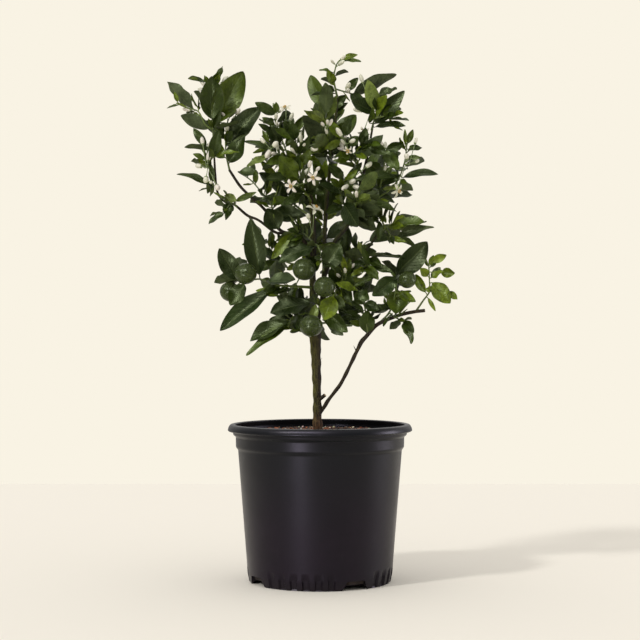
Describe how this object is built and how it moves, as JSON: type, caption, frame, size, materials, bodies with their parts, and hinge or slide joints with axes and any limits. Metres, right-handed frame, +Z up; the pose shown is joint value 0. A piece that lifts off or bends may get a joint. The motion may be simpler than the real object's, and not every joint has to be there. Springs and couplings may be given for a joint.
{
  "type": "potted calamondin",
  "caption": "Small citrus tree with glossy leaves, green fruit and white blossom, growing in a black nursery pot that stands on its foot.",
  "frame": {"origin": "centre of the flat pad under the pot, at the height the pot stands on", "axes": "+Z up along the pot's axis and the trunk, -Y the side of the tree that is meant to be seen"},
  "size_m": [0.401, 0.2803, 0.7264],
  "materials": {
    "pot": "near-black moulded polypropylene with a satin sheen",
    "soil": "coarse bark and peat mix",
    "bark": "olive brown bark with fine fissures",
    "leaf": "waxy dark green above, paler and duller beneath",
    "fruit": "glossy unripe green rind with oil glands",
    "petal": "cream white petals with pale green cups"
  },
  "bodies": {
    "root": {"back_centre_shoot": "leaf", "back_high_left_shoot": "leaf", "back_high_right_shoot": "leaf", "back_high_shoot": "leaf", "back_left_shoot": "leaf", "back_low_left_shoot": "leaf", "back_low_right_shoot": "leaf", "back_right_shoot": "leaf", "back_top_shoot": "leaf", "centre_front_shoot": "leaf", "centre_leader": "bark", "centre_left_shoot": "leaf", "centre_low_shoot": "leaf", "centre_stem": "bark", "flower_cluster_centre": "petal", "flower_cluster_centre_high": "petal", "flower_cluster_centre_left": "petal", "flower_cluster_centre_low": "petal", "flower_cluster_far_right": "petal", "flower_cluster_heart": "petal", "flower_cluster_left": "petal", "flower_cluster_left_tip": "petal", "flower_cluster_right": "petal", "flower_cluster_right_low": "petal", "flower_cluster_upper_left": "petal", "flower_cluster_upper_right": "petal", "front_high_shoot": "leaf", "front_right_shoot": "leaf", "fruit_centre": "fruit", "fruit_centre_right": "fruit", "fruit_far_left": "fruit", "fruit_left": "fruit", "fruit_right": "fruit", "fruit_trunk": "fruit", "left_inner_shoot": "leaf", "left_limb": "bark", "left_limb_shoot": "leaf", "left_low_branch": "leaf", "left_low_shoot": "leaf", "left_outer_limb": "bark", "left_outer_shoot": "leaf", "low_left_shoot": "leaf", "low_right_front_shoot": "leaf", "nursery_pot": "pot", "potting_soil": "soil", "right_centre_shoot": "leaf", "right_front_shoot": "leaf", "right_inner_shoot": "leaf", "right_limb": "bark", "right_low_limb": "bark", "right_low_shoot": "leaf", "right_outer_shoot": "leaf", "right_rising_shoot": "leaf", "side_stem": "bark", "side_stem_shoot": "leaf", "side_tip_shoot": "leaf", "top_shoot": "leaf", "trunk": "bark", "upper_left_shoot": "leaf", "upper_right_shoot": "leaf"}
  },
  "joints": []
}
